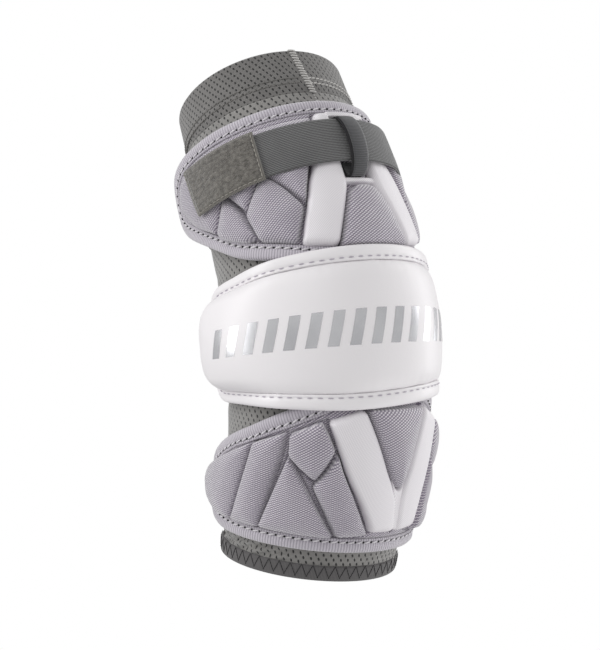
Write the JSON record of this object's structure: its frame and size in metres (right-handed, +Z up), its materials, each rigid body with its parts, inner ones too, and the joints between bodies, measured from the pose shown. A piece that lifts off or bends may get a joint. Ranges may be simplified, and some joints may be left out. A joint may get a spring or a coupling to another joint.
{
  "type": "lacrosse arm pad",
  "caption": "Knitted compression sleeve for a bent arm with moulded foam pads above and below the elbow, a domed elbow cap and a hook-and-loop strap round the upper arm",
  "frame": {"origin": "the middle of the arm at the elbow, inside the hollow sleeve", "axes": "+Z up the arm towards the shoulder, -Y out through the tip of the elbow, +X to the right seen from the elbow's side; the upper arm leans 25.5 degrees from +Z and the forearm 9.5 degrees from -Z, both towards +Y"},
  "size_m": [0.1528, 0.1843, 0.323],
  "materials": {
    "knit": "matte mesh knit",
    "hem_elastic": "matte ribbed elastic",
    "pad_cloth": "matte ribbed knit over foam",
    "binding_tape": "matte ribbed tape",
    "webbing": "matte woven elastic",
    "hook_tape": "matte brushed nap",
    "white_synthetic": "satin synthetic leather"
  },
  "bodies": {
    "root": {"sleeve_upper_arm": "knit", "sleeve_elbow": "knit", "sleeve_forearm": "knit", "collar": "knit", "hem_band": "hem_elastic", "upper_carrier": "pad_cloth", "upper_binding": "binding_tape", "upper_cell_end_left": "pad_cloth", "upper_cell_end_right": "pad_cloth", "upper_cell_wedge_left": "pad_cloth", "upper_cell_wedge_right": "pad_cloth", "upper_cell_notch_left": "pad_cloth", "upper_cell_notch_right": "pad_cloth", "upper_cell_shield_left": "pad_cloth", "upper_cell_shield_right": "pad_cloth", "upper_cell_kite_left": "pad_cloth", "upper_cell_kite_right": "pad_cloth", "upper_cell_centre": "pad_cloth", "upper_frame": "white_synthetic", "strap": "webbing", "hook_tab": "hook_tape", "keeper_loop": "webbing", "lower_carrier": "pad_cloth", "lower_binding": "binding_tape", "lower_cell_end_left": "pad_cloth", "lower_cell_end_right": "pad_cloth", "lower_cell_slant_left": "pad_cloth", "lower_cell_slant_right": "pad_cloth", "lower_cell_peak_left": "pad_cloth", "lower_cell_peak_right": "pad_cloth", "lower_cell_kite_left": "pad_cloth", "lower_cell_kite_right": "pad_cloth", "lower_cell_blade_left": "pad_cloth", "lower_cell_blade_right": "pad_cloth", "lower_cell_centre": "pad_cloth", "lower_frame": "white_synthetic", "elbow_cap": "white_synthetic", "elbow_cap_binding": "white_synthetic"}
  },
  "joints": []
}
